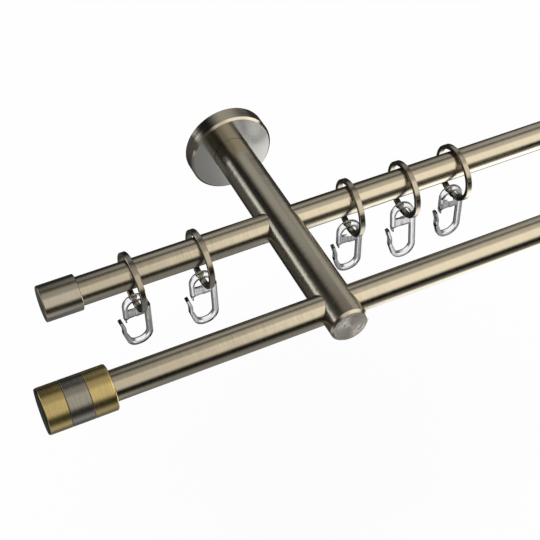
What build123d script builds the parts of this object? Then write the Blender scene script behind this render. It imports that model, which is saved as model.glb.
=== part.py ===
# Double curtain pole: two round tubes that run through one turned arm on a round wall rose, with an end cap,
# a banded finial and rings with clear hooks on the rear pole.
#
# Frame: millimetres, origin at the centre of the rose's wall face. +X runs along the poles, -Y points from the
# wall into the room, +Z points up.
from math import cos, radians, sin

from build123d import *
import os

# Driving dimensions

# Poles
pole_radius = 10.0
pole_wall = 1.0
pole_right_end = 225.0  # both tubes are square cut here
rear_pole_distance = 94.5  # from the wall to the tube's axis
pole_spacing = 84.0  # between the two tubes' axes

# Arm
arm_radius = 13.5
arm_nose = 20.5  # from the front pole's axis to the arm's front face
arm_chamfer = 1.6
arm_bore_clearance = 0.3  # radial, around each pole

# Wall rose and wall plate
rose_radius = 31.25
rose_depth = 12.5
rose_chamfer = 1.5
rose_rim_wall = 3.5
rose_face_wall = 3.0
rose_fit_clearance = 0.15  # radial, around the arm and around the wall plate
plate_thickness = 6.0
wall_screw_radius = 2.6
wall_screw_head_radius = 4.8
wall_screw_circle_radius = 20.0
wall_screw_count = 3

# Bolt from behind the plate into the arm
bolt_radius = 4.0
bolt_head_radius = 7.0
bolt_length = 24.0
bolt_recess = 0.3  # the head lies this deep under the plate's wall face
bolt_socket_width = 5.0
bolt_socket_depth = 2.4
bolt_hole_clearance = 0.2
tapped_hole_depth = 28.0  # from the wall

# Grub screws
grub_radius = 2.0
pole_grub_radius = 2.5  # the two that clamp the poles in the arm
thread_clearance = 0.05
grub_tip_gap = 0.05  # between a screw's tip and what it bears on
grub_sink = 0.4  # the socket end lies this deep under the surface around it
grub_chamfer = 0.25
grub_socket_share = 0.5  # width across the hexagon's flats, as a share of the screw's diameter
grub_socket_depth = 1.2
rose_grub_distance = 3.0  # from the wall

# End cap of the rear pole
cap_radius = 12.5
cap_length = 25.5
cap_right = -146.0
cap_bore_depth = 20.0
cap_edge_radius = 0.9
cap_rim_chamfer = 0.4
cap_grub_inset = 8.0  # from the cap's open end

# Finial of the front pole
finial_radius = 14.9
finial_right = -153.0
inner_band_width = 15.3
middle_band_width = 14.4
outer_band_width = 14.8
band_wall = 2.7
band_fit_clearance = 0.05
band_groove = 0.3  # chamfer that forms the groove at each joint
finial_shoulder_radius = 1.4
finial_lip = 2.0  # end wall of the band beside the pole
finial_bore_depth = 24.0
finial_disc_flange = 0.8  # the part of the end disc that covers the outer band's edge
finial_disc_thickness = 2.4
finial_grub_inset = 8.0

# Sleeve pieces on the poles' ends
sleeve_clearance = 0.05  # radial
end_gap = 0.3  # between a pole's end and the bottom of its bore

# Rings
ring_inner_radius = 18.25
ring_wall = 3.0
ring_width = 4.0
ring_edge_chamfer = 0.35
ring_hang_gap = 0.3  # between the ring and the top of the pole
ring_places = [-109.0, -60.0, 54.6, 97.8, 138.9]
ring_turns = [2.1, 0.7, -2.7, -0.8, 1.0]  # degrees about the vertical

# Hooks, in the hook's own plane: first number along the pole, second number up from the middle of the crown
hook_depth = 4.8
hook_swings = [-2.0, 1.3, -1.8, 5.5, -0.5]  # degrees, positive brings the foot away from the wall
crown_thickness = 4.3
crown_seat_gap = 0.8  # between the crown and the ring at the middle of the band
eye_middle = -0.45
eye_outer_radius = 9.2
eye_side = 3.3  # thickness of the eye beside the ring
eye_edge_radius = 1.5
eye_end_drop = 7.6  # from the crown's middle to the eye's free end
snap_gap = 2.6  # between the eye's free end and the stem
web_dip = 1.2  # the web's upper edge sinks this much below the stem's top
web_drop = 17.7  # from the crown's middle to the web's lower edge
web_step = -1.0  # the web is thin left of here and thick right of here
web_thin = 2.2
web_thick = 3.2
spur_length = 3.1
spur_tip_width = 0.8
bow_points = [(7.95, -45.2), (-6.4, -45.2), (-10.5, -32.5), (-10.5, -26.6), (-12.8, -18.3)]
bow_widths = [4.0, 4.0, 2.8, 2.6, 2.5]
bow_radii = [8.2, 6.5, 7.0, 7.0]
bow_edge_radius = 1.1

# Sizes that follow

front_pole_distance = rear_pole_distance + pole_spacing
arm_reach = front_pole_distance + arm_nose
cap_left = cap_right - cap_length
band_joint_right = finial_right - inner_band_width
band_joint_left = band_joint_right - middle_band_width
finial_left = band_joint_left - outer_band_width
tube_inner_radius = pole_radius - pole_wall
sleeve_bore_radius = pole_radius + sleeve_clearance
arm_bore_radius = pole_radius + arm_bore_clearance
plate_radius = rose_radius - rose_rim_wall - rose_fit_clearance
ring_outer_radius = ring_inner_radius + ring_wall
ring_drop = ring_inner_radius - pole_radius - ring_hang_gap  # from the pole's axis to the ring's centre
core_radius = finial_radius - band_wall - band_fit_clearance
crown_height = -ring_drop - ring_inner_radius + crown_seat_gap + crown_thickness / 2
eye_inner_radius = eye_outer_radius - eye_side
stem_top = -eye_end_drop - snap_gap

room_side = Plane.XZ  # normal towards the room
wall_side = Plane(origin=(0, 0, 0), x_dir=(1, 0, 0), z_dir=(0, 1, 0))


def along_pole(x, distance):
    """Plane across a pole at x, with its normal along +X."""
    return Plane(origin=(x, -distance, 0), x_dir=(0, 1, 0), z_dir=(1, 0, 0))


def save(piece, name):
    piece.label = name
    export_step(piece, f"parts/{name}.step")


def make_tube(name, left, distance):
    """Round tube from its left end to the common right end."""
    with BuildPart() as tube:
        with BuildSketch(along_pole(left, distance)):
            Circle(pole_radius)
            Circle(tube_inner_radius, mode=Mode.SUBTRACT)
        extrude(amount=pole_right_end - left)
    save(tube.part, name)


def make_grub_screw(name, x, distance, radius, bears_on, surface):
    """Upright grub screw: its tip bears on a round of radius bears_on, its socket opens downwards."""
    bottom = -(surface - grub_sink)
    with BuildPart() as screw:
        foot = Plane(origin=(x, -distance, bottom))
        with BuildSketch(foot):
            Circle(radius)
        extrude(amount=-bears_on - grub_tip_gap - bottom)
        chamfer(screw.edges().filter_by(GeomType.CIRCLE), length=grub_chamfer)
        with BuildSketch(foot):
            RegularPolygon(radius=radius * grub_socket_share, side_count=6, major_radius=False)
        extrude(amount=grub_socket_depth, mode=Mode.SUBTRACT)
    save(screw.part, name)


def grub_hole(x, distance, radius, depth):
    """Hole for a grub screw, cut upwards from below the current piece into its middle."""
    with BuildSketch(Plane(origin=(x, -distance, -depth))) as mouth:
        Circle(radius + thread_clearance)
    extrude(mouth.sketch, amount=depth, mode=Mode.SUBTRACT)


def make_wall_plate():
    """Steel disc on the wall: countersunk wall screws from the front, the arm's bolt from behind."""
    with BuildPart() as plate:
        with BuildSketch(room_side):
            Circle(plate_radius)
        extrude(amount=plate_thickness)
        with Locations(room_side.offset(plate_thickness)):
            with PolarLocations(wall_screw_circle_radius, wall_screw_count, start_angle=90):
                CounterSinkHole(wall_screw_radius, wall_screw_head_radius)
        with Locations(wall_side):
            CounterSinkHole(bolt_radius + bolt_hole_clearance,
                            bolt_head_radius + bolt_hole_clearance + bolt_recess,
                            counter_sink_angle=90)
    save(plate.part, "wall_plate")


def make_arm_bolt():
    """Countersunk socket bolt, its head under the plate's wall face."""
    with BuildPart() as bolt:
        with BuildSketch(Plane.XY):
            with BuildLine():
                Polyline((0, -bolt_recess), (bolt_head_radius, -bolt_recess),
                         (bolt_radius, -bolt_recess - bolt_head_radius + bolt_radius),
                         (bolt_radius, -bolt_length), (0, -bolt_length), close=True)
            make_face()
        revolve(axis=Axis.Y)
        with BuildSketch(room_side.offset(bolt_recess)):
            RegularPolygon(radius=bolt_socket_width / 2, side_count=6, major_radius=False)
        extrude(amount=bolt_socket_depth, mode=Mode.SUBTRACT)
    save(bolt.part, "arm_bolt")


def make_rose():
    """Turned cup over the wall plate, open at the wall, with a bore for the arm in its face."""
    with BuildPart() as rose:
        with BuildSketch(room_side):
            Circle(rose_radius)
        extrude(amount=rose_depth)
        chamfer(rose.edges().sort_by(Axis.Y)[0], length=rose_chamfer)
        with BuildSketch(room_side):
            Circle(rose_radius - rose_rim_wall)
        extrude(amount=rose_depth - rose_face_wall, mode=Mode.SUBTRACT)
        with BuildSketch(room_side):
            Circle(arm_radius + rose_fit_clearance)
        extrude(amount=rose_depth, mode=Mode.SUBTRACT)
        grub_hole(0, rose_grub_distance, grub_radius, rose_radius)
    save(rose.part, "rose")


def make_arm():
    """Solid turned bar, bored across for the poles and tapped at its wall end."""
    with BuildPart() as arm:
        with BuildSketch(room_side.offset(plate_thickness)):
            Circle(arm_radius)
        extrude(amount=arm_reach - plate_thickness)
        chamfer(arm.edges().sort_by(Axis.Y)[0], length=arm_chamfer)
        for distance in (rear_pole_distance, front_pole_distance):
            with BuildSketch(along_pole(0, distance)):
                Circle(arm_bore_radius)
            extrude(amount=arm_radius, both=True, mode=Mode.SUBTRACT)
            grub_hole(0, distance, pole_grub_radius, arm_radius)
        with BuildSketch(room_side.offset(plate_thickness)):
            Circle(bolt_radius + thread_clearance)
        extrude(amount=tapped_hole_depth - plate_thickness, mode=Mode.SUBTRACT)
    save(arm.part, "arm")


def make_end_cap():
    """Plain turned cap, bored to slide over the rear pole's end."""
    with BuildPart() as cap:
        with BuildSketch(along_pole(cap_left, rear_pole_distance)):
            Circle(cap_radius)
        extrude(amount=cap_right - cap_left)
        fillet(cap.edges().sort_by(Axis.X)[0], radius=cap_edge_radius)
        chamfer(cap.edges().sort_by(Axis.X)[-1], length=cap_rim_chamfer)
        with BuildSketch(along_pole(cap_right, rear_pole_distance)):
            Circle(sleeve_bore_radius)
        extrude(amount=-cap_bore_depth, mode=Mode.SUBTRACT)
        grub_hole(cap_right - cap_grub_inset, rear_pole_distance, grub_radius, cap_radius)
    save(cap.part, "rear_end_cap")


def make_finial_core():
    """Turned core that slides over the front pole's end and carries the three bands."""
    core_right = finial_right - finial_lip
    core_left = finial_left + finial_disc_thickness
    with BuildPart() as core:
        with BuildSketch(along_pole(core_left, front_pole_distance)):
            Circle(core_radius)
        extrude(amount=core_right - core_left)
        with BuildSketch(along_pole(core_right, front_pole_distance)):
            Circle(sleeve_bore_radius)
        extrude(amount=finial_lip - finial_bore_depth, mode=Mode.SUBTRACT)
        grub_hole(finial_right - finial_grub_inset, front_pole_distance, grub_radius, core_radius)
    save(core.part, "finial_core")


def make_band(name, left, right, is_inner=False):
    """One band of the finial. The inner one has an end wall that closes on the pole."""
    with BuildPart() as band:
        with BuildSketch(along_pole(left, front_pole_distance)):
            Circle(finial_radius)
        extrude(amount=right - left)
        edges = band.edges().filter_by(GeomType.CIRCLE).sort_by(Axis.X)
        if is_inner:
            chamfer(edges[0], length=band_groove)
            fillet(edges[-1], radius=finial_shoulder_radius)
        else:
            chamfer(edges, length=band_groove)
        lip = finial_lip if is_inner else 0
        with BuildSketch(along_pole(left, front_pole_distance)):
            Circle(core_radius + band_fit_clearance)
        extrude(amount=right - left - lip, mode=Mode.SUBTRACT)
        if is_inner:
            with BuildSketch(along_pole(right, front_pole_distance)):
                Circle(sleeve_bore_radius)
            extrude(amount=-lip, mode=Mode.SUBTRACT)
            grub_hole(finial_right - finial_grub_inset, front_pole_distance, grub_radius, finial_radius)
    save(band.part, name)


def make_finial_disc():
    """End disc: a flange over the outer band's edge and a spigot inside the band."""
    with BuildPart() as disc:
        with BuildSketch(along_pole(finial_left, front_pole_distance)):
            Circle(finial_radius - band_groove)
        extrude(amount=finial_disc_flange)
        chamfer(disc.edges().sort_by(Axis.X)[0], length=band_groove)
        with BuildSketch(along_pole(finial_left + finial_disc_flange, front_pole_distance)):
            Circle(core_radius)
        extrude(amount=finial_disc_thickness - finial_disc_flange)
    save(disc.part, "finial_end_disc")


def hanging_plane(place, turn, swing, height):
    """Plane of a hanging piece: x along the pole, y up, z away from the wall."""
    along = Vector(cos(radians(turn)), sin(radians(turn)), 0)
    away = Vector(sin(radians(turn)), -cos(radians(turn)), 0)
    facing = away * cos(radians(swing)) + Vector(0, 0, sin(radians(swing)))
    return Plane(origin=(place, -rear_pole_distance, height), x_dir=along, z_dir=facing)


def build_ring():
    """Flat metal band round its own X axis."""
    with BuildPart() as ring:
        with BuildSketch(Plane.YZ.offset(-ring_width / 2)):
            Circle(ring_outer_radius)
            Circle(ring_inner_radius, mode=Mode.SUBTRACT)
        extrude(amount=ring_width)
        chamfer(ring.edges().filter_by(GeomType.CIRCLE), length=ring_edge_chamfer)
    return ring.part


def strip_side(points, widths, radii, side):
    """Corners and bend radii of one side of a strip that follows the points."""
    line = [Vector(*point) for point in points]
    headings = [(after - before).normalized() for before, after in zip(line, line[1:])]
    headings = [headings[0], *headings, headings[-1]]
    corners = []
    bends = []
    for point, width, before, after in zip(line, widths, headings, headings[1:]):
        across = Vector(-before.Y - after.Y, before.X + after.X)
        corners.append(point + across * (side * width / (1 + before.dot(after)) / 2))
    for radius, width, before, after in zip(radii, widths[1:], headings[1:], headings[2:]):
        turn = 1 if before.cross(after).Z > 0 else -1
        bends.append(radius - turn * side * width / 2)
    return corners, bends


def build_hook():
    """Clear plastic hook: an open eye round the ring, a web under it and a sprung tongue below."""
    outer_left = (eye_middle - eye_outer_radius, crown_thickness / 2 - eye_outer_radius)
    inner_left = (eye_middle - eye_inner_radius, -crown_thickness / 2 - eye_inner_radius)
    outer_end = eye_middle + (eye_outer_radius**2 - (eye_end_drop + outer_left[1]) ** 2) ** 0.5
    inner_end = eye_middle + (eye_inner_radius**2 - (eye_end_drop + inner_left[1]) ** 2) ** 0.5
    stem_points = [(bow_points[0][0], stem_top), *bow_points]
    stem_widths = [bow_widths[0], *bow_widths]
    outer_corners, outer_bends = strip_side(stem_points, stem_widths, bow_radii, 1)
    inner_corners, inner_bends = strip_side(stem_points, stem_widths, bow_radii, -1)
    leg_middle = outer_left[0] + eye_side / 2
    stem_middle = bow_points[0][0]

    # The eye and the leg on the left
    with BuildPart() as eye:
        with BuildSketch():
            with BuildLine():
                ThreePointArc(outer_left, (eye_middle, crown_thickness / 2), (outer_end, -eye_end_drop))
                Line((outer_end, -eye_end_drop), (inner_end, -eye_end_drop))
                ThreePointArc((inner_end, -eye_end_drop), (eye_middle, -crown_thickness / 2), inner_left)
                Polyline(inner_left, (inner_left[0], -web_drop), (outer_left[0], -web_drop), outer_left)
            make_face()
        extrude(amount=hook_depth / 2, both=True)
        fillet(eye.edges().group_by(Axis.Z)[0] + eye.edges().group_by(Axis.Z)[-1], radius=eye_edge_radius)

    # The stem, the bow and the tongue
    with BuildPart() as bow:
        with BuildSketch():
            with BuildLine():
                FilletPolyline(*outer_corners, radius=outer_bends)
                FilletPolyline(*inner_corners, radius=inner_bends)
                Line(outer_corners[0], inner_corners[0])
                Line(outer_corners[-1], inner_corners[-1])
            make_face()
        extrude(amount=hook_depth / 2, both=True)
        fillet(bow.edges().group_by(Axis.Z)[0] + bow.edges().group_by(Axis.Z)[-1], radius=bow_edge_radius)

    with BuildPart() as hook:
        add(eye.part)
        add(bow.part)
        # The web, thin beside the leg and thick beside the stem, and the spur under the leg
        with BuildSketch() as web:
            with BuildLine():
                ThreePointArc((leg_middle, stem_top), (eye_middle, stem_top - web_dip), (stem_middle, stem_top))
                Polyline((stem_middle, stem_top), (stem_middle, -web_drop), (leg_middle, -web_drop),
                         (leg_middle, stem_top))
            make_face()
        extrude(amount=web_thin / 2, both=True)
        with BuildSketch():
            with BuildLine():
                Polyline((leg_middle - eye_edge_radius, -web_drop + eye_side / 2), (leg_middle, -web_drop + eye_side / 2),
                         (leg_middle, -web_drop), (leg_middle, -web_drop - spur_length),
                         (leg_middle - spur_tip_width, -web_drop - spur_length),
                         (leg_middle - eye_edge_radius, -web_drop), close=True)
            make_face()
        extrude(amount=web_thick / 2, both=True)
        with BuildSketch():
            add(web.sketch)
            with Locations((web_step, -web_drop)):
                Rectangle(stem_middle, web_drop, align=(Align.MIN, Align.MIN), mode=Mode.INTERSECT)
        extrude(amount=web_thick / 2, both=True)
    return hook.part


os.makedirs("parts", exist_ok=True)

make_wall_plate()
make_arm_bolt()
make_rose()
make_arm()
make_tube("rear_pole", cap_right - cap_bore_depth + end_gap, rear_pole_distance)
make_tube("front_pole", finial_right - finial_bore_depth + end_gap, front_pole_distance)
make_end_cap()
make_finial_core()
make_band("finial_band_inner", band_joint_right, finial_right, is_inner=True)
make_band("finial_band_middle", band_joint_left, band_joint_right)
make_band("finial_band_outer", finial_left + finial_disc_flange, band_joint_left)
make_finial_disc()

make_grub_screw("rose_grub_screw", 0, rose_grub_distance, grub_radius, plate_radius, rose_radius)
make_grub_screw("arm_grub_screw_rear", 0, rear_pole_distance, pole_grub_radius, pole_radius, arm_radius)
make_grub_screw("arm_grub_screw_front", 0, front_pole_distance, pole_grub_radius, pole_radius, arm_radius)
make_grub_screw("cap_grub_screw", cap_right - cap_grub_inset, rear_pole_distance, grub_radius, pole_radius,
                cap_radius)
make_grub_screw("finial_grub_screw", finial_right - finial_grub_inset, front_pole_distance, grub_radius,
                pole_radius, finial_radius)

ring = build_ring()
hook = build_hook()
for number, (place, turn, swing) in enumerate(zip(ring_places, ring_turns, hook_swings), start=1):
    save(ring.moved(hanging_plane(place, turn, 0, -ring_drop).location), f"ring_{number}")
    save(hook.moved(hanging_plane(place, turn, swing, crown_height).location), f"hook_{number}")
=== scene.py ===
# %% [markdown]
# # Double curtain pole
#
# Two satin metal tubes run through one turned arm that stands out from a round rose on the wall. The rear tube
# ends in a plain cap and carries flat rings with clear plastic hooks. The front tube ends in a finial with brass
# and grey bands. Every shape comes from the CAD model, because turned and moulded parts are exact there. Blender
# gives the pieces their finishes, and draws the studio that the metal mirrors.

# %% Load the CAD model
import bpy
import numpy as np
from math import cos, radians, sin
from mathutils import Matrix, Vector


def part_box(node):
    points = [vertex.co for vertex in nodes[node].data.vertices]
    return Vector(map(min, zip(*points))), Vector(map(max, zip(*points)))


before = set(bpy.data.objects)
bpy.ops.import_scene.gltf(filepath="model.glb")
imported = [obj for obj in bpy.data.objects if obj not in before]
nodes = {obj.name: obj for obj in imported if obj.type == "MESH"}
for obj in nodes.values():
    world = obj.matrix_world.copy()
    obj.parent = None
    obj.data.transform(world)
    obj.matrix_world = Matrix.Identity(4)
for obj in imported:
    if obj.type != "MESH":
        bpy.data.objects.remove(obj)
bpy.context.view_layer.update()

# %% [markdown]
# ## The camera
#
# The camera stands in front of the pole, to the left of it and well above, and looks down by 46 degrees. Its
# three axes are worked out from those angles, and the camera is then rolled a little about its own line of sight.

# %% Camera
azimuth, elevation, roll = radians(-23.797), radians(46.107), radians(1.651)
camera_place = (-0.248932, -0.639608, 0.576874)
backward = Vector((sin(azimuth) * cos(elevation), -cos(azimuth) * cos(elevation), sin(elevation)))
rightward = Vector((cos(azimuth), sin(azimuth), 0))
upward = backward.cross(rightward)
camera_x = rightward * cos(roll) - upward * sin(roll)
camera_y = rightward * sin(roll) + upward * cos(roll)
camera = bpy.data.objects.new("camera", bpy.data.cameras.new("camera"))
camera_turn = Matrix((camera_x, camera_y, backward)).transposed().to_4x4()
camera.matrix_world = Matrix.Translation(camera_place) @ camera_turn
camera.data.sensor_width = 36
camera.data.lens = 80.673
bpy.context.scene.collection.objects.link(camera)
bpy.context.scene.camera = camera
bpy.context.scene.view_settings.view_transform = "Standard"
print("camera at", tuple(round(v, 3) for v in camera.location))

# %% [markdown]
# ## Writing shader maths in Python
#
# A wire is the output of a node. The class below lets wires take part in Python sums, so that `1 - mask` adds
# the Math node by itself.

# %% Wires
class Wire:
    """The output of a node, which can be added, subtracted, multiplied and divided in Python."""

    def __init__(self, tree, socket):
        self.tree = tree
        self.socket = socket

    def math(self, operation, *others):
        return self.tree.node("ShaderNodeMath", {"operation": operation}, [self, *others])

    def __add__(self, other):
        return self.math("ADD", other)

    def __mul__(self, other):
        return self.math("MULTIPLY", other)

    def __sub__(self, other):
        return self.math("SUBTRACT", other)

    def __rsub__(self, other):
        return self.tree.node("ShaderNodeMath", {"operation": "SUBTRACT"}, [other, self])

    def __truediv__(self, other):
        return self.math("DIVIDE", other)

    def __neg__(self):
        return self.math("MULTIPLY", -1)

    __radd__ = __add__
    __rmul__ = __mul__

    def smooth(self, low, high):
        """0 below low, 1 above high, and a smooth rise in between. Where low is the larger, it falls instead."""
        step = self.tree.node("ShaderNodeMapRange", {"interpolation_type": "SMOOTHSTEP"},
                              [self, min(low, high), max(low, high), 0, 1])
        return 1 - step if low > high else step


print("class for the outputs of nodes:", Wire.__name__)

# %% [markdown]
# ## Trees of nodes
#
# A tree holds the nodes of one material, or of the world. Every node comes from one method, which takes the
# node's type, its settings and the values or wires of its sockets. The methods below it are short names for the
# nodes that come up often. Colours and vectors have methods of their own, because a Math node works on a single
# number and would turn a colour grey.

# %% Trees of nodes
class Tree:
    """The node tree of a material or a world."""

    def __init__(self, owner):
        owner.use_nodes = True
        self.nodes = owner.node_tree.nodes
        self.links = owner.node_tree.links
        self.nodes.clear()

    def node(self, kind, settings=None, inputs=(), output=0):
        made = self.nodes.new(kind)
        for name, value in (settings or {}).items():
            setattr(made, name, value)
        for key, value in (inputs.items() if isinstance(inputs, dict) else enumerate(inputs)):
            if isinstance(value, Wire):
                self.links.new(value.socket, made.inputs[key])
            else:
                made.inputs[key].default_value = value
        return Wire(self, made.outputs[output])

    def rays(self, *names):
        """Facts about the ray that looks at the surface, by the names of Light Path's outputs."""
        outputs = self.node("ShaderNodeLightPath").socket.node.outputs
        return [Wire(self, outputs[name]) for name in names]

    def place(self):
        """The point's place in the object's own coordinates, in metres."""
        return self.node("ShaderNodeTexCoord", output="Object")

    def split(self, vector):
        """x, y and z of a vector."""
        outputs = self.node("ShaderNodeSeparateXYZ", {}, [vector]).socket.node.outputs
        return [Wire(self, socket) for socket in outputs]

    def vector(self, x, y, z):
        return self.node("ShaderNodeCombineXYZ", {}, [x, y, z])

    def vector_math(self, operation, *vectors, output=0):
        return self.node("ShaderNodeVectorMath", {"operation": operation}, vectors, output)

    def cross(self, first, second):
        return self.vector_math("CROSS_PRODUCT", first, second)

    def dot(self, first, second):
        return self.vector_math("DOT_PRODUCT", first, second, output=1)

    def add(self, first, second):
        return self.vector_math("ADD", first, second)

    def scale(self, vector, factor):
        return self.node("ShaderNodeVectorMath", {"operation": "SCALE"}, {"Vector": vector, "Scale": factor})

    def unit(self, vector):
        return self.vector_math("NORMALIZE", vector)

    def mix(self, factor, first, second):
        """A colour between two colours."""
        return self.node("ShaderNodeMix", {"data_type": "RGBA"}, {0: factor, 6: first, 7: second}, output=2)

    def noise(self, vector):
        return self.node("ShaderNodeTexNoise", {}, {"Vector": vector, "Scale": 1.0, "Detail": 2.0})

    def finish(self, shader, target="ShaderNodeOutputMaterial"):
        self.links.new(shader.socket, self.nodes.new(target).inputs["Surface"])


print("class for trees of nodes:", Tree.__name__)

# %% [markdown]
# ## The studio
#
# Bare metal has no colour of its own to show: what is seen is the studio around it. So the studio is drawn first.
# A product photographer hangs soft boxes over the set and puts dark cards around it, which give round metal its
# black edges. Two shells do the same here. The dome, far out and above, carries the soft boxes. The bowl, close
# below, carries the dark cards, and is open low at the right, where white paper shows.
#
# Each soft box is a product of smooth steps in two directions: the turn about the tubes (0 at the front horizon,
# 90 overhead, 180 at the horizon behind, less than 0 below) and x, how far to the right the direction points.

# %% Soft boxes and dark cards
white, warm_white, cool_white = (1.0, 1.0, 1.0), (1.0, 0.95, 0.86), (0.92, 0.98, 1.06)


def direction(tree):
    """x of the direction from the shell's middle to the point on it, and its turn about the tubes in degrees."""
    x, y, z = tree.split(tree.unit(tree.place()))
    return x, z.math("ARCTAN2", -y) * (180 / np.pi)


def soft_boxes(tree):
    """Colour of the dome: every box is its steps in turn, times its steps in x, times its brightness.

    Warm boxes hang in front and overhead, plain ones behind, behind to the right and at both ends, and a cool
    strip far left. They are added up.
    """
    x, turn = direction(tree)
    front = turn.smooth(-2, 21) * turn.smooth(76, 50) * x.smooth(-0.5, -0.2) * (x.smooth(0, 0.4) * 0.5 + 0.82)
    overhead = (turn.smooth(50, 66) * turn.smooth(122, 92) * x.smooth(-0.7, -0.4)
                * (x.smooth(-0.1, 0.3) * 0.3 + 0.42))
    behind = turn.smooth(112, 134) * turn.smooth(172, 140) * x.smooth(-0.35, 0.1) * x.smooth(1.0, 0.3)
    right = turn.smooth(112, 134) * turn.smooth(184, 162) * x.smooth(0.5, 0.7)
    strip = turn.smooth(144, 160) * turn.smooth(178, 166) * x.smooth(-0.52, -0.68)
    ends = x.math("ABSOLUTE").smooth(0.76, 0.92) * turn.smooth(5, 50) * turn.smooth(175, 130)
    plain = ends * 0.45 + behind * 0.44 + right * 0.32 + x.smooth(-0.4, -0.8) * 0.08 + 0.015
    warm = tree.scale(warm_white, front + overhead)
    return tree.add(warm, tree.add(tree.scale(cool_white, strip * 1.2), tree.scale(white, plain)))


def dark_cards(tree):
    """Colour of the bowl, from steps in turn times steps in x, added up.

    It is grey low in front, has a glint at the left, is open to white paper low at the right, and is nearly
    black elsewhere.
    """
    x, turn = direction(tree)
    left = x.smooth(-0.1, -0.35)
    low = turn.smooth(-14, -44) * turn.smooth(-128, -96) * (1 - left * turn.smooth(-52, -66) * 0.55)
    glint = left * turn.smooth(-22, -42) * turn.smooth(-66, -52)
    opening = (turn.smooth(-41, -61) * turn.smooth(-112, -84)
               * (x.smooth(0.25, 0.43) * 1.3 + x.smooth(0.5, 0.8) * 0.8))
    back = turn.smooth(-128, -146) * 0.03
    plain = low * 0.27 + glint * 0.2 + opening + back + x.smooth(-0.2, -0.6) * 0.06 + 0.01
    return tree.scale(white, plain)


print("light patterns:", soft_boxes.__name__, "and", dark_cards.__name__)

# %% [markdown]
# ## The shells that carry the light
#
# Both shells are parts of a ball around the set, and glow with their pattern. Neither the camera nor the paper
# sees them. A ray that goes straight through a clear hook has to meet white, as it would on paper, so the shells
# are plain white for it. In the mirror image of a mirror image they glow at half strength, which is painted shade:
# it darkens the metal between parts, such as inside the rings. The shells stand in for lamps and cards of a real
# studio, and are no part of the object.

# %% Dome and bowl
set_middle = (0.0, -0.12, 0.0)
dome_radius, bowl_radius = 0.6, 0.42
horizon_overlap, tip_gap = 1, 0.1  # degrees that the shells share at the horizon, and leave open at the tips


def glow(name, pattern):
    """Emission of the pattern: half as bright after two mirrors, and white straight through clear plastic."""
    material = bpy.data.materials.new(name)
    tree = Tree(material)
    mirrors, through = tree.rays("Glossy Depth", "Is Transmission Ray")
    clear = through * (1 - mirrors.math("GREATER_THAN", 0.5))
    # Painted shade: half strength in a mirror image of a mirror image darkens the metal between parts
    second_mirror_shade = (1 - mirrors.math("GREATER_THAN", 1.5) * 0.5) * (1 - clear)
    colour = tree.add(tree.scale(pattern(tree), second_mirror_shade), tree.scale(white, clear))
    tree.finish(tree.node("ShaderNodeEmission", {}, {"Color": colour, "Strength": 1.0}))
    return material


def shell(name, pattern, radius, low, high):
    """Part of a ball: every point at the given radius between two heights of latitude, in degrees."""
    turn, lift = np.meshgrid(np.linspace(0, 2 * np.pi, 65)[:-1], np.radians(np.linspace(low, high, 25)))
    points = np.stack([np.cos(lift) * np.cos(turn), np.cos(lift) * np.sin(turn), np.sin(lift)], -1) * radius
    index = np.arange(turn.size).reshape(turn.shape)
    beside = np.roll(index, -1, 1)
    faces = np.stack([index[:-1], beside[:-1], beside[1:], index[1:]], -1).reshape(-1, 4)
    mesh = bpy.data.meshes.new(name)
    mesh.from_pydata(points.reshape(-1, 3).tolist(), [], faces.tolist())
    ball = bpy.data.objects.new(name, mesh)
    ball.location = set_middle
    bpy.context.scene.collection.objects.link(ball)
    mesh.materials.append(glow(name, pattern))
    for ray in ("camera", "diffuse", "shadow", "volume_scatter"):
        setattr(ball, f"visible_{ray}", False)
    return ball


dome = shell("soft_box_dome", soft_boxes, dome_radius, -horizon_overlap, 90 - tip_gap)
bowl = shell("dark_card_bowl", dark_cards, bowl_radius, tip_gap - 90, horizon_overlap)
print("studio shells:", dome.name, bowl.name)

# %% [markdown]
# ## Paper and world
#
# The paper under the set is white to the camera, and to what is seen in a mirror or through the clear hooks. A
# tenth of it stays a plain lit surface, so that the set's shadow lies on it. The world is white for the same
# rays and dark for all others, so that it lights nothing.

# %% Paper and world
paper_half, paper_height, paper_grey, paper_glow = 6, -0.5, 0.9, 0.9


def seen_as_background(tree):
    """1 for rays that come straight from the camera, or by way of a mirror or clear plastic."""
    straight, mirrored, through = tree.rays("Is Camera Ray", "Is Glossy Ray", "Is Transmission Ray")
    return straight.math("MAXIMUM", mirrored.math("MAXIMUM", through))


paper_mesh = bpy.data.meshes.new("paper")
paper_corners = [(x * paper_half, y * paper_half, paper_height) for x, y in ((-1, -1), (1, -1), (1, 1), (-1, 1))]
paper_mesh.from_pydata(paper_corners, [], [(0, 1, 2, 3)])
paper = bpy.data.objects.new("paper", paper_mesh)
bpy.context.scene.collection.objects.link(paper)
paper_material = bpy.data.materials.new("paper")
tree = Tree(paper_material)
lit = tree.node("ShaderNodeBsdfDiffuse", {}, {"Color": (paper_grey, paper_grey, paper_grey, 1)})
bright = tree.node("ShaderNodeEmission", {}, {"Color": (*white, 1), "Strength": 1.0})
tree.finish(tree.node("ShaderNodeMixShader", {}, [seen_as_background(tree) * paper_glow, lit, bright]))
paper_mesh.materials.append(paper_material)

world = bpy.data.worlds.new("studio")
bpy.context.scene.world = world
tree = Tree(world)
tree.finish(tree.node("ShaderNodeBackground", {}, {"Color": seen_as_background(tree), "Strength": 1.0}),
            "ShaderNodeOutputWorld")
print("stage:", paper.name, "and world", world.name)

# %% [markdown]
# ## One soft lamp
#
# The lamp lights the paper evenly, as a sun does: it shines with the same strength everywhere, and its place only
# gives its direction, from above and in front. It is a wide sun, so its shadows are soft. It shows in no mirror
# image, because the soft boxes do that work.

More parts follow.
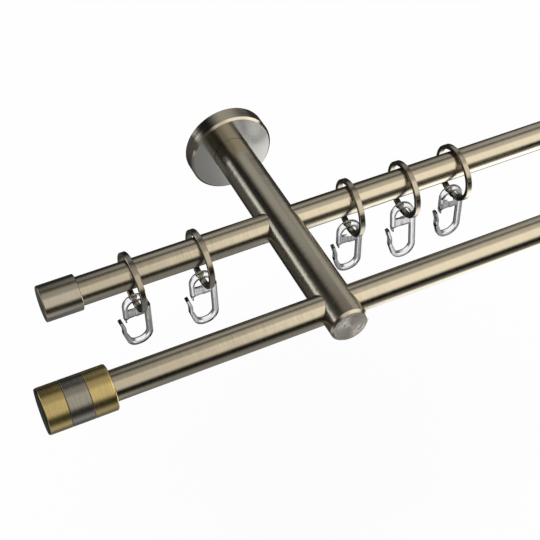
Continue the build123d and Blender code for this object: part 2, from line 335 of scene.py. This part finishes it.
# %% Lamp
lamp_data = bpy.data.lights.new("soft_lamp", "SUN")
lamp_data.angle = radians(40)
lamp_data.energy = 3.4
lamp = bpy.data.objects.new("soft_lamp", lamp_data)
lamp.location = (-0.3, -0.7, 1.6)
lamp.rotation_euler = (Vector(set_middle) - lamp.location).to_track_quat("-Z", "Y").to_euler()
lamp.visible_glossy = False
lamp.visible_transmission = False
bpy.context.scene.collection.objects.link(lamp)
print("lamp:", lamp.name, "with strength", round(lamp_data.energy, 2))

# %% [markdown]
# ## Satin metal
#
# Every metal piece here was turned, then brushed while it spun. The brush leaves fine grooves that run around the
# piece, far finer than a pixel. Each groove wall tilts the surface along the axis, so a highlight is smeared along
# the axis and stays sharp around it. A flat end gets the same grooves as circles, which make its bright and dark
# fans. A bump texture would blur with distance, so the tilt is added to the normal itself. It is a noise that
# changes fast across the grooves and slowly along them. Two coarser noises of the same kind give the fine lines
# that the eye can see.

# %% A turned metal finish
AXES = [(1, 0, 0), (0, 1, 0), (0, 0, 1)]
groove_pitch, line_pitch, band_pitch = 0.00015, 0.0006, 0.004  # metres from one to the next
tiny = 1e-6  # keeps the middle of a flat end from dividing by zero


def turned_metal(name, colour, axis, centre, face=None, rough=0.18, spread=0.4, fans=0.9, streak=0.06, coat=0.0):
    """Metal brushed around an axis: normal + (across the grooves) * spread * (noise over grooves - 1/2).

    On flat ends face takes the place of colour, and fans that of spread. streak is how strong the lines are that
    can be seen, and coat is a clear lacquer.
    """
    material = bpy.data.materials.new(name)
    tree = Tree(material)
    place = tree.split(tree.place())
    along = place[axis] - centre[axis]
    outward = [place[n] - centre[n] if n != axis else 0.0 for n in range(3)]
    across, rise = [outward[n] for n in range(3) if n != axis]
    radius = (across * across + rise * rise).math("SQRT") + tiny
    swirl = [across / radius, rise / radius]

    def grooves(pitch, twist):
        return tree.noise(tree.vector((along + radius) * (1 / pitch), swirl[0] * twist, swirl[1] * twist))

    # 1 on a flat end, 0 on the round wall
    normal = tree.node("ShaderNodeNewGeometry", output="Normal")
    flat = tree.dot(normal, AXES[axis]).math("ABSOLUTE").smooth(0.8, 0.98)
    groove = tree.cross(AXES[axis], tree.vector(*outward))
    tilt = (grooves(groove_pitch, 1.0) - 0.5) * (flat * (fans - spread) + spread)
    slanted = tree.add(normal, tree.scale(tree.unit(tree.cross(normal, groove)), tilt))
    lines = (grooves(line_pitch, 1.5) + grooves(band_pitch, 0.8) - 1) * streak
    bright, dull = [tuple(c * f for c in colour) for f in (1 + streak / 2, 1 - streak)]
    round_wall = tree.mix(lines * 4 + 0.5, (*dull, 1), (*bright, 1))
    metal = tree.node("ShaderNodeBsdfPrincipled", {}, {
        "Base Color": tree.mix(flat, round_wall, (*(face or colour), 1)), "Metallic": 1.0,
        "Roughness": lines * 0.6 + rough, "Coat Weight": coat, "Coat Roughness": 0.12, "Normal": tree.unit(slanted)})
    tree.finish(metal)
    return material


print("metal finish:", turned_metal.__name__)

# %% [markdown]
# ## Dressing the metal pieces
#
# The grooves of each piece run around its own axis. That is x for the tubes, the cap, the finial and the rings,
# and y for what stands out from the wall. The lines are strongest on the tubes and on the finial's middle band.
# The brass bands have a thin coat of lacquer. The wall plate, the bolt and the screws are zinc plated. They are so
# dull that y does for the small screws too, which really stand upright.

# %% Dress the metal pieces
along_tubes, out_of_wall = 0, 1
rear_y, front_y = -0.0945, -0.1785
# A centre is any point on the piece's axis: moving it along the axis only shifts the pattern
arm_centre = (0, 0, 0)
cap_centre, bands_centre, finial_centre = (-0.16, rear_y, 0), (-0.18, front_y, 0), (-0.19, front_y, 0)
steel, bare_face, rose_face = (0.62, 0.558, 0.438), (0.71, 0.665, 0.595), (0.56, 0.545, 0.51)
cap_steel, ring_steel, dark_steel = (0.58, 0.535, 0.45), (0.47, 0.42, 0.335), (0.43, 0.41, 0.355)
brass, zinc, black = (0.70, 0.55, 0.235), (0.72, 0.73, 0.75), (0.045, 0.045, 0.045)


def dress(node, material):
    """Gives a CAD node its finish."""
    slots = nodes[node].data.materials
    slots.clear()
    slots.append(material)


def middle(box):
    """The middle of a box: half-way between its low and its high corner."""
    low, high = box
    return tuple((a + b) / 2 for a, b in zip(low, high))


turned_pieces = {
    "rose": dict(colour=steel, axis=out_of_wall, centre=arm_centre, face=rose_face, rough=0.14, fans=0.04),
    "arm": dict(colour=steel, axis=out_of_wall, centre=arm_centre, face=bare_face, rough=0.2, spread=0.45,
                fans=1.3),
    "rear_pole": dict(colour=steel, axis=along_tubes, centre=(0, rear_y, 0), streak=0.15),
    "front_pole": dict(colour=steel, axis=along_tubes, centre=(0, front_y, 0), streak=0.15),
    "rear_end_cap": dict(colour=cap_steel, axis=along_tubes, centre=cap_centre, streak=0.08),
    "finial_band_middle": dict(colour=dark_steel, axis=along_tubes, centre=bands_centre, rough=0.26, streak=0.16),
    "finial_core": dict(colour=dark_steel, axis=along_tubes, centre=finial_centre),
    "finial_end_disc": dict(colour=black, axis=along_tubes, centre=finial_centre, rough=0.3),
}
for node, finish in turned_pieces.items():
    dress(node, turned_metal(f"satin_{node}", **finish))
for number in range(1, 6):
    ring_middle = middle(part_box(f"ring_{number}"))
    dress(f"ring_{number}", turned_metal(f"ring_steel_{number}", ring_steel, along_tubes, ring_middle))
for side in ("inner", "outer"):
    dress(f"finial_band_{side}", turned_metal(f"satin_brass_{side}", brass, along_tubes, bands_centre,
                                              coat=0.25, streak=0.08, rough=0.26))
for node in ("wall_plate", "arm_bolt", "rose_grub_screw", "arm_grub_screw_rear", "arm_grub_screw_front",
             "cap_grub_screw", "finial_grub_screw"):
    dress(node, turned_metal(f"zinc_{node}", zinc, out_of_wall, middle(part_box(node)), rough=0.55, fans=0.3))
print("materials so far:", len(bpy.data.materials))

# %% [markdown]
# ## Clear plastic
#
# The hooks are moulded in clear plastic. The shader bends light like glass. Their grey is painted shade: the colour
# turns dark grey where the surface turns from the eye, which Layer Weight gives, so the bar looks grey towards its
# edges and stays clear only where it faces the eye. A faint flow pattern, as from the mould, keeps the reflections
# from being perfect as a small bump, and also draws the painted grey out into streaks down the stem.

# %% Clear plastic for the hooks
flow_sideways, flow_down = 1400, 160  # changes of the flow pattern per metre
# Where the clear body ends and where the painted grey shade is full, on Layer Weight's facing scale
clear_until, painted_grey_from = 0.24, 0.4  # 0 is a surface that faces the eye, 1 one that is seen edge-on


def clear_plastic(name):
    """Glass-like plastic: clear where it faces the eye, painted grey shade where (turn from the eye +
    flow_and_shade_streaks) is large.
    """
    material = bpy.data.materials.new(name)
    tree = Tree(material)
    x, y, z = tree.split(tree.place())
    flow_and_shade_streaks = tree.noise(tree.vector(x * flow_sideways, y * flow_down, z * flow_down))
    away = tree.node("ShaderNodeLayerWeight", {}, {"Blend": 0.5}, output="Facing")
    # Painted shade: 1 is the clear body, 0 the painted dark grey, which the flow pattern draws into streaks
    clear = 1 - (away + (flow_and_shade_streaks - 0.5) * 0.12).smooth(clear_until, painted_grey_from)
    relief = tree.node("ShaderNodeBump", {}, {"Strength": 0.05, "Distance": 0.0001, "Height": flow_and_shade_streaks})
    # The dark grey is the painted shade colour, the near white the clear body
    tree.finish(tree.node("ShaderNodeBsdfPrincipled", {}, {
        "Base Color": tree.mix(clear, (0.04, 0.04, 0.039, 1), (0.95, 0.95, 0.95, 1)), "Metallic": 0.0,
        "Roughness": 0.04, "IOR": 1.5, "Transmission Weight": 1.0, "Normal": relief}))
    return material


plastic = clear_plastic("clear_plastic")
for number in range(1, 6):
    dress(f"hook_{number}", plastic)
print("hooks dressed in", plastic.name)
